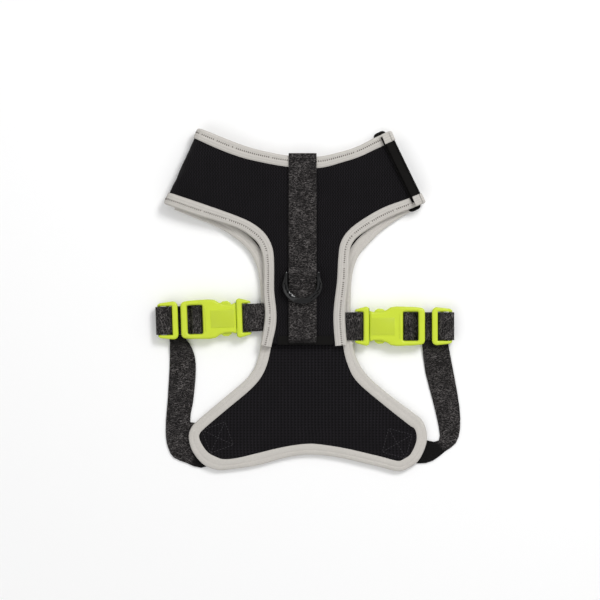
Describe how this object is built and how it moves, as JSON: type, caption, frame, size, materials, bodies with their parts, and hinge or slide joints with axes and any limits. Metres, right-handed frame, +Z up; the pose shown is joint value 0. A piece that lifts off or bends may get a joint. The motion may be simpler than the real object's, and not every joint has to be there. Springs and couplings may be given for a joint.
{
  "type": "dog harness vest",
  "caption": "Mesh harness vest for a small dog, laid flat: bound back and chest panels, hook-and-loop neck closure, side-release buckles, sliders and a leash ring.",
  "frame": {"origin": "on the ground under the middle of the vest as it lies flat", "axes": "+Y towards the neck, +X towards the closing side of the neck, +Z up off the ground, towards the dog's back"},
  "size_m": [0.2252, 0.2533, 0.0156],
  "materials": {
    "air_mesh": "black knitted spacer mesh",
    "lining": "black mesh lining",
    "binding": "light grey folded fabric tape with overlock stitches",
    "webbing": "charcoal polyester webbing with grey flecks",
    "lime_plastic": "moulded lime acetal, satin",
    "ring_metal": "black gloss",
    "closure_tape": "black plain fabric, hook tape and loop tape"
  },
  "bodies": {
    "vest": {"back_panel_outer_mesh": "air_mesh", "back_panel_lining": "lining", "back_neck_binding": "binding", "right_armhole_binding": "binding", "left_armhole_binding": "binding", "back_hem": "closure_tape", "chest_panel_outer_mesh": "air_mesh", "chest_panel_lining": "lining", "chest_neck_binding": "binding", "chest_edge_binding": "binding", "neck_fold_strip": "closure_tape", "fold_upper_binding": "binding", "fold_lower_binding": "binding", "neck_loop_tape": "closure_tape", "neck_closure_patch": "closure_tape", "spine_strap": "webbing", "ring_keeper": "webbing", "left_stub_webbing": "webbing", "left_buckle_male_base": "lime_plastic", "left_belly_strap": "webbing", "right_stub_webbing": "webbing", "right_buckle_male_base": "lime_plastic", "right_belly_strap": "webbing"},
    "ring": {"d_ring": "ring_metal"},
    "closure_flap": {"neck_flap": "closure_tape", "flap_upper_binding": "binding", "flap_lower_binding": "binding", "flap_hook_tape": "closure_tape"},
    "left_female": {"left_buckle_female": "lime_plastic", "left_loop_webbing": "webbing"},
    "left_adjuster": {"left_slider": "lime_plastic"},
    "left_prong_a": {"left_prong_a": "lime_plastic"},
    "left_prong_b": {"left_prong_b": "lime_plastic"},
    "right_female": {"right_buckle_female": "lime_plastic", "right_loop_webbing": "webbing"},
    "right_adjuster": {"right_slider": "lime_plastic"},
    "right_prong_a": {"right_prong_a": "lime_plastic"},
    "right_prong_b": {"right_prong_b": "lime_plastic"}
  },
  "joints": [
    {"name": "d_ring_swing", "type": "hinge", "parent": "vest", "child": "ring", "pos_m": [-0.0044, 0.0192, 0.0131], "axis": [-1, 0, 0], "range_deg": [0, 165]},
    {"name": "neck_flap_peel", "type": "hinge", "parent": "vest", "child": "closure_flap", "pos_m": [0.09589, 0.04645, 0.01455], "axis": [-0.4359, 0.9, 0], "range_deg": [0, 150]},
    {"name": "left_buckle_release", "type": "slide", "parent": "vest", "child": "left_female", "axis": [-0.9994, -0.0349, 0], "range_m": [0, 0.028], "deforming": ["left_prong_a", "left_prong_b", "left_belly_strap"]},
    {"name": "left_slider_adjust", "type": "slide", "parent": "left_female", "child": "left_adjuster", "axis": [-0.9994, -0.0349, 0], "range_m": [0, 0.02], "deforming": ["left_loop_webbing"]},
    {"name": "left_prong_a_squeeze", "type": "hinge", "parent": "vest", "child": "left_prong_a", "pos_m": [-0.05331, -0.01959, 0.0061], "axis": [0, 0, -1], "range_deg": [0, 10], "stiffness_Nm_per_rad": 0.05},
    {"name": "left_prong_b_squeeze", "type": "hinge", "parent": "vest", "child": "left_prong_b", "pos_m": [-0.05374, -0.0074, 0.0061], "axis": [0, 0, -1], "range_deg": [-10, 0], "stiffness_Nm_per_rad": 0.05},
    {"name": "right_buckle_release", "type": "slide", "parent": "vest", "child": "right_female", "axis": [1, 0, 0], "range_m": [0, 0.028], "deforming": ["right_prong_a", "right_prong_b", "right_belly_strap"]},
    {"name": "right_slider_adjust", "type": "slide", "parent": "right_female", "child": "right_adjuster", "axis": [1, 0, 0], "range_m": [0, 0.02], "deforming": ["right_loop_webbing"]},
    {"name": "right_prong_a_squeeze", "type": "hinge", "parent": "vest", "child": "right_prong_a", "pos_m": [0.0456, -0.0133, 0.0061], "axis": [0, 0, -1], "range_deg": [0, 10], "stiffness_Nm_per_rad": 0.05},
    {"name": "right_prong_b_squeeze", "type": "hinge", "parent": "vest", "child": "right_prong_b", "pos_m": [0.0456, -0.0255, 0.0061], "axis": [0, 0, -1], "range_deg": [-10, 0], "stiffness_Nm_per_rad": 0.05}
  ],
  "couplings": [
    {"joint": "left_prong_b_squeeze", "follows": "left_prong_a_squeeze", "ratio": -1},
    {"joint": "right_prong_b_squeeze", "follows": "right_prong_a_squeeze", "ratio": -1}
  ]
}
